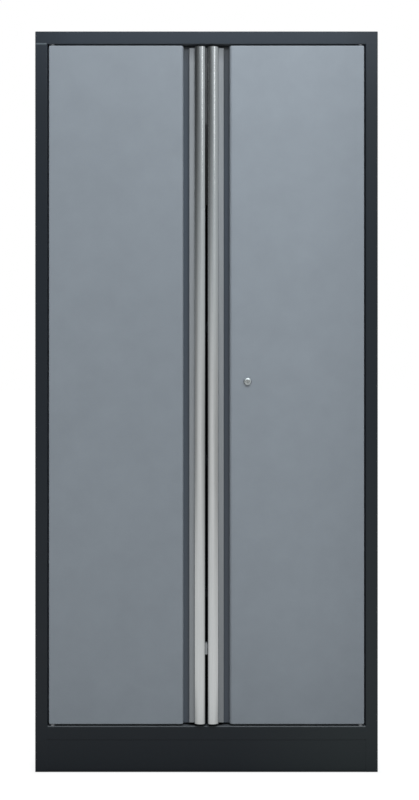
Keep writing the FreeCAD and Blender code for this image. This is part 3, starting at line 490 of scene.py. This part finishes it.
# ---------------------------------------------------------------------------
# a bead across the top of the left stile, its pale colour a painted highlight
# ---------------------------------------------------------------------------
def seam_bead(name, x0, x1, zc, half, proud, body, mat):
    """A low bead lying on the front plane, its ends fading into the sheet."""
    bm = bmesh.new()
    rings = []
    steps, arc = 24, 14
    for i in range(steps + 1):
        t = i / steps
        x = x0 + (x1 - x0) * t
        fade = min(1.0, min(t, 1.0 - t) / 0.10)
        k = 0.35 + 0.65 * math.sin(fade * math.pi / 2.0)
        ring = []
        for j in range(arc + 1):
            a = math.pi * j / arc
            ring.append(bm.verts.new((x, FRONT + 0.00015 - proud * k * math.sin(a), zc + half * k * math.cos(a))))
        ring.append(bm.verts.new((x, FRONT + 0.00045, zc - half * k * 0.9)))
        ring.append(bm.verts.new((x, FRONT + 0.00045, zc + half * k * 0.9)))
        rings.append(ring)
    n = len(rings[0])
    for r0, r1 in zip(rings, rings[1:]):
        for j in range(n):
            bm.faces.new((r0[j], r1[j], r1[(j + 1) % n], r0[(j + 1) % n]))
    bm.faces.new(rings[0])
    bm.faces.new(list(reversed(rings[-1])))
    bmesh.ops.recalc_face_normals(bm, faces=bm.faces)
    for f in bm.faces:
        f.smooth = len(f.verts) == 4
    me = bpy.data.meshes.new(name)
    bm.to_mesh(me)
    bm.free()
    obj = bpy.data.objects.new(name, me)
    scene.collection.objects.link(obj)
    me.materials.append(mat)
    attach(obj, body)
    return obj


def weld_fill(name, start, end, across, front, back, body, mat):
    """A painted-over weld: a section swept from start to end, its ends sinking into the sheet.

    front and back are (across, depth) points in millimetres, depth counted into the cabinet.
    """
    bm = bmesh.new()
    section = front + back
    start, end, across = Vector(start), Vector(end), Vector(across)
    rings = []
    steps = 24
    for i in range(steps + 1):
        t = i / steps
        fade = min(1.0, min(t, 1.0 - t) / 0.05)
        sink = 0.0004 * (1.0 - math.sin(fade * math.pi / 2.0))
        at = start.lerp(end, t)
        rings.append([bm.verts.new(at + across * (u / 1000.0) + Vector((0.0, v / 1000.0 + sink, 0.0))) for u, v in section])
    n = len(section)
    for r0, r1 in zip(rings, rings[1:]):
        for j in range(n):
            f = bm.faces.new((r0[j], r1[j], r1[(j + 1) % n], r0[(j + 1) % n]))
            f.smooth = True
        for j in (0, len(front) - 1):
            bm.edges.get((r0[j], r1[j])).smooth = False
    bm.faces.new(rings[0])
    bm.faces.new(list(reversed(rings[-1])))
    bmesh.ops.recalc_face_normals(bm, faces=bm.faces)
    me = bpy.data.meshes.new(name)
    bm.to_mesh(me)
    bm.free()
    obj = bpy.data.objects.new(name, me)
    scene.collection.objects.link(obj)
    me.materials.append(mat)
    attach(obj, body)
    return obj


seam_bead("left_stile_seam_bead", -0.4572, -0.4266, 1.9460, 0.0029, 0.0012, "cabinet", seam_highlight_paint)
seam_bead("right_stile_seam_fill", 0.4266, 0.4572, 1.9464, 0.0016, 0.0002, "cabinet", carcass_coat)

JAMB = 0.4255
weld_fill("kick_weld_fill", (-JAMB + 0.001, FRONT, 0.086), (JAMB - 0.001, FRONT, 0.086), (0.0, 0.0, 1.0),
          [(2.4, -0.02), (1.4, 0.03), (0.6, 0.18), (0.0, 0.42), (-0.6, 0.70), (-1.4, 0.93), (-2.3, 0.98)],
          [(-1.4, 1.9), (1.2, 1.4)], "cabinet", carcass_coat)
for side, sign in (("left", 1.0), ("right", -1.0)):
    weld_fill(side + "_rail_weld_fill", (-sign * JAMB, FRONT, 0.0872), (-sign * JAMB, FRONT, 0.1200), (sign, 0.0, 0.0),
              [(-2.6, -0.02), (-1.6, -0.04), (-0.6, -0.05), (0.2, -0.04), (1.2, -0.02)],
              [(0.8, 0.7), (-1.8, 0.7)], "cabinet", carcass_coat)
    weld_fill(side + "_kick_weld_fill", (-sign * JAMB, FRONT, 0.0042), (-sign * JAMB, FRONT, 0.0850), (sign, 0.0, 0.0),
              [(-2.6, -0.02), (-1.6, 0.02), (-0.8, 0.15), (-0.1, 0.45), (0.6, 0.80), (1.5, 0.95), (2.3, 0.98)],
              [(1.0, 1.9), (-1.8, 0.8)], "cabinet", carcass_coat)

# ---------------------------------------------------------------------------
# floor, light, camera
# ---------------------------------------------------------------------------
bm = bmesh.new()
bmesh.ops.create_grid(bm, x_segments=8, y_segments=8, size=30.0)
me = bpy.data.meshes.new("studio_floor")
bm.to_mesh(me)
bm.free()
floor = bpy.data.objects.new("studio_floor", me)
scene.collection.objects.link(floor)
mat = bpy.data.materials.new("studio_floor_white")
mat.use_nodes = True
nt = mat.node_tree
nt.nodes.clear()
out = nt.nodes.new("ShaderNodeOutputMaterial")
add = nt.nodes.new("ShaderNodeAddShader")
matt = nt.nodes.new("ShaderNodeBsdfDiffuse")
matt.inputs["Color"].default_value = (0.12, 0.12, 0.12, 1.0)
glow = nt.nodes.new("ShaderNodeEmission")
path = nt.nodes.new("ShaderNodeLightPath")
# the floor's glow is painted light: what it gives back dims towards the foot of the cabinet, a painted shadow as under
# any tall object
spot = nt.nodes.new("ShaderNodeTexCoord")
foot = nt.nodes.new("ShaderNodeVectorMath")
foot.operation = "SUBTRACT"
foot.inputs[1].default_value = (0.0, 0.0042, 0.0)
nt.links.new(spot.outputs["Object"], foot.inputs[0])
away = nt.nodes.new("ShaderNodeVectorMath")
away.operation = "ABSOLUTE"
nt.links.new(foot.outputs["Vector"], away.inputs[0])
past = nt.nodes.new("ShaderNodeVectorMath")
past.operation = "SUBTRACT"
past.inputs[1].default_value = (0.4570, 0.2275, 0.0)
nt.links.new(away.outputs["Vector"], past.inputs[0])
clear = nt.nodes.new("ShaderNodeVectorMath")
clear.operation = "MAXIMUM"
clear.inputs[1].default_value = (0.0, 0.0, 0.0)
nt.links.new(past.outputs["Vector"], clear.inputs[0])
gap = nt.nodes.new("ShaderNodeVectorMath")
gap.operation = "LENGTH"
nt.links.new(clear.outputs["Vector"], gap.inputs[0])
give = nt.nodes.new("ShaderNodeMapRange")
give.interpolation_type = "SMOOTHSTEP"
give.inputs["From Min"].default_value = 0.0
give.inputs["From Max"].default_value = 0.55
give.inputs["To Min"].default_value = 0.325
give.inputs["To Max"].default_value = 0.65
nt.links.new(gap.outputs["Value"], give.inputs["Value"])
right = nt.nodes.new("ShaderNodeSeparateXYZ")
nt.links.new(spot.outputs["Object"], right.inputs["Vector"])
slope = nt.nodes.new("ShaderNodeMapRange")
slope.inputs["From Min"].default_value = 0.6
slope.inputs["From Max"].default_value = 5.0
slope.inputs["To Min"].default_value = 1.0
slope.inputs["To Max"].default_value = 0.62
nt.links.new(right.outputs["X"], slope.inputs["Value"])
# far off, the floor's glow is brightest straight in front and a little to the right: a painted pool of light
flat = nt.nodes.new("ShaderNodeVectorMath")
flat.operation = "MULTIPLY"
flat.inputs[1].default_value = (1.0, 1.0, 0.0)
nt.links.new(foot.outputs["Vector"], flat.inputs[0])
way = nt.nodes.new("ShaderNodeVectorMath")
way.operation = "NORMALIZE"
nt.links.new(flat.outputs["Vector"], way.inputs[0])
turn = nt.nodes.new("ShaderNodeSeparateXYZ")
nt.links.new(way.outputs["Vector"], turn.inputs["Vector"])
aside = nt.nodes.new("ShaderNodeMapRange")
aside.inputs["From Min"].default_value = -1.0
aside.inputs["From Max"].default_value = 1.0
nt.links.new(turn.outputs["X"], aside.inputs["Value"])
fan = nt.nodes.new("ShaderNodeValToRGB")
stops = [(-1.0, 0.28), (-0.8, 0.50), (-0.6, 0.74), (-0.36, 0.87), (-0.1, 0.90), (0.16, 0.99), (0.42, 0.88), (0.66, 0.76), (1.0, 0.66)]
els = fan.color_ramp.elements
while len(els) < len(stops):
    els.new(0.5)
for e, (x, v) in zip(els, stops):
    e.position = (x + 1.0) / 2.0
    e.color = (v, v, v, 1.0)
nt.links.new(aside.outputs["Result"], fan.inputs["Fac"])
far = nt.nodes.new("ShaderNodeMapRange")
far.inputs["From Min"].default_value = 2.5
far.inputs["From Max"].default_value = 6.5
nt.links.new(gap.outputs["Value"], far.inputs["Value"])
spread = nt.nodes.new("ShaderNodeMix")
spread.data_type = "RGBA"
spread.inputs[6].default_value = (0.8, 0.8, 0.8, 1.0)
nt.links.new(far.outputs["Result"], spread.inputs[0])
nt.links.new(fan.outputs["Color"], spread.inputs[7])
touch = nt.nodes.new("ShaderNodeMapRange")
touch.inputs["From Min"].default_value = 0.001
touch.inputs["From Max"].default_value = 0.016
touch.inputs["To Min"].default_value = 0.06
nt.links.new(gap.outputs["Value"], touch.inputs["Value"])
near = nt.nodes.new("ShaderNodeMath")
near.operation = "MULTIPLY"
nt.links.new(give.outputs["Result"], near.inputs[0])
nt.links.new(touch.outputs["Result"], near.inputs[1])
lit = nt.nodes.new("ShaderNodeMath")
lit.operation = "MULTIPLY"
nt.links.new(near.outputs["Value"], lit.inputs[0])
nt.links.new(slope.outputs["Result"], lit.inputs[1])
sent = nt.nodes.new("ShaderNodeMath")
sent.operation = "MULTIPLY"
nt.links.new(lit.outputs["Value"], sent.inputs[0])
nt.links.new(spread.outputs[2], sent.inputs[1])
# seen by the camera, the floor darkens close to the cabinet's foot: a painted contact shadow
seen = nt.nodes.new("ShaderNodeValToRGB")
els = seen.color_ramp.elements
els.new(0.5)
els.new(0.5)
for e, (pos, v) in zip(els, [(0.0, 0.02), (0.016, 0.90), (0.22, 0.97), (1.0, 0.99)]):
    e.position = pos
    e.color = (v, v, v, 1.0)
reach = nt.nodes.new("ShaderNodeMapRange")
reach.inputs["From Min"].default_value = 0.0
reach.inputs["From Max"].default_value = 0.12
nt.links.new(gap.outputs["Value"], reach.inputs["Value"])
nt.links.new(reach.outputs["Result"], seen.inputs["Fac"])
level = nt.nodes.new("ShaderNodeMix")
level.data_type = "FLOAT"
nt.links.new(path.outputs["Is Camera Ray"], level.inputs[0])
nt.links.new(sent.outputs["Value"], level.inputs[2])
nt.links.new(seen.outputs["Color"], level.inputs[3])
nt.links.new(level.outputs[0], glow.inputs["Strength"])
nt.links.new(matt.outputs["BSDF"], add.inputs[0])
nt.links.new(glow.outputs["Emission"], add.inputs[1])
nt.links.new(add.outputs["Shader"], out.inputs["Surface"])
me.materials.append(mat)

# studio dome: a pale horizon that darkens upwards, dimmer on the left
world = bpy.data.worlds.new("studio")
scene.world = world
world.use_nodes = True
nt = world.node_tree
nt.nodes.clear()
out = nt.nodes.new("ShaderNodeOutputWorld")
mix = nt.nodes.new("ShaderNodeMixShader")
path = nt.nodes.new("ShaderNodeLightPath")
white = nt.nodes.new("ShaderNodeBackground")
white.inputs["Color"].default_value = (1.0, 1.0, 1.0, 1.0)
white.inputs["Strength"].default_value = 1.0
dome = nt.nodes.new("ShaderNodeBackground")
dome.inputs["Strength"].default_value = 1.0
tc = nt.nodes.new("ShaderNodeTexCoord")
sep = nt.nodes.new("ShaderNodeSeparateXYZ")
nt.links.new(tc.outputs["Generated"], sep.inputs["Vector"])


def dome_ramp(axis, stops, tint, upper=None):
    half = nt.nodes.new("ShaderNodeMapRange")
    half.inputs["From Min"].default_value = -1.0
    half.inputs["From Max"].default_value = 1.0
    nt.links.new(sep.outputs[axis], half.inputs["Value"])
    ramp = nt.nodes.new("ShaderNodeValToRGB")
    els = ramp.color_ramp.elements
    while len(els) < len(stops):
        els.new(0.5)
    for e, (direction, v) in zip(els, stops):
        e.position = (direction + 1.0) / 2.0
        hue = upper if upper and direction > 0.01 else tint
        e.color = (v * hue[0], v * hue[1], v * hue[2], 1.0)
    nt.links.new(half.outputs["Result"], ramp.inputs["Fac"])
    return ramp.outputs["Color"]


TINT = (0.985, 0.99, 0.99)
UPPER = (0.93, 0.99, 1.03)
left_side = dome_ramp("Z", [(-1.0, 0.54), (-0.04, 0.56), (0.0, 0.55), (0.047, 0.53), (0.09, 0.32), (0.134, 0.19), (0.22, 0.065),
                            (0.34, 0.06), (0.70, 0.10), (1.0, 0.30)], TINT, UPPER)
right_side = dome_ramp("Z", [(-1.0, 0.52), (-0.04, 0.54), (0.0, 0.51), (0.047, 0.52), (0.134, 0.50), (0.22, 0.45), (0.34, 0.41),
                             (0.70, 0.34), (1.0, 0.36)], TINT, UPPER)
across = dome_ramp("X", [(-1.0, 0.0), (-0.25, 0.10), (0.0, 0.30), (0.25, 0.85), (0.5, 1.0)], (1.0, 1.0, 1.0))
wings = dome_ramp("X", [(-1.0, 0.36), (-0.8, 0.52), (-0.6, 0.78), (-0.36, 0.95), (0.0, 1.0), (0.4, 1.0), (0.75, 0.92), (1.0, 0.72)], (1.0, 1.0, 1.0))
sides = nt.nodes.new("ShaderNodeMix")
sides.data_type = "RGBA"
nt.links.new(across, sides.inputs[0])
nt.links.new(left_side, sides.inputs[6])
nt.links.new(right_side, sides.inputs[7])
both = nt.nodes.new("ShaderNodeMix")
both.data_type = "RGBA"
both.blend_type = "MULTIPLY"
both.inputs[0].default_value = 1.0
nt.links.new(sides.outputs[2], both.inputs[6])
nt.links.new(wings, both.inputs[7])
nt.links.new(both.outputs[2], dome.inputs["Color"])
nt.links.new(path.outputs["Is Camera Ray"], mix.inputs["Fac"])
nt.links.new(dome.outputs["Background"], mix.inputs[1])
nt.links.new(white.outputs["Background"], mix.inputs[2])
nt.links.new(mix.outputs["Shader"], out.inputs["Surface"])


def area_light(name, at, to, size, power, colour):
    data = bpy.data.lights.new(name, "AREA")
    data.shape = "RECTANGLE"
    data.size, data.size_y = size
    data.energy = power
    data.color = colour
    obj = bpy.data.objects.new(name, data)
    obj.location = at
    obj.rotation_euler = (Vector(to) - Vector(at)).to_track_quat("-Z", "Y").to_euler()
    obj.visible_camera = False
    scene.collection.objects.link(obj)
    return obj


area_light("overhead_softbox", (0.5, -2.5, 3.9), (0.1, -0.2, 1.3), (2.9, 1.3), 105.0, (0.89, 0.945, 1.0))
area_light("side_strip", (1.70, -3.17, 2.85), (0.0, -0.23, 1.75), (0.25, 1.2), 1.68, (1.0, 1.0, 1.0))

cam_data = bpy.data.cameras.new("camera")
cam_data.sensor_width = 36.0
cam_data.lens = 50.51
cam_data.shift_x = 0.00375
cam_data.shift_y = -0.0587
cam_data.clip_end = 200.0
cam_data.dof.use_dof = False
cam = bpy.data.objects.new("camera", cam_data)
cam.location = (0.0, -3.2243, 1.12)
cam.rotation_euler = (math.radians(90.0), 0.0, 0.0)
scene.collection.objects.link(cam)
scene.camera = cam
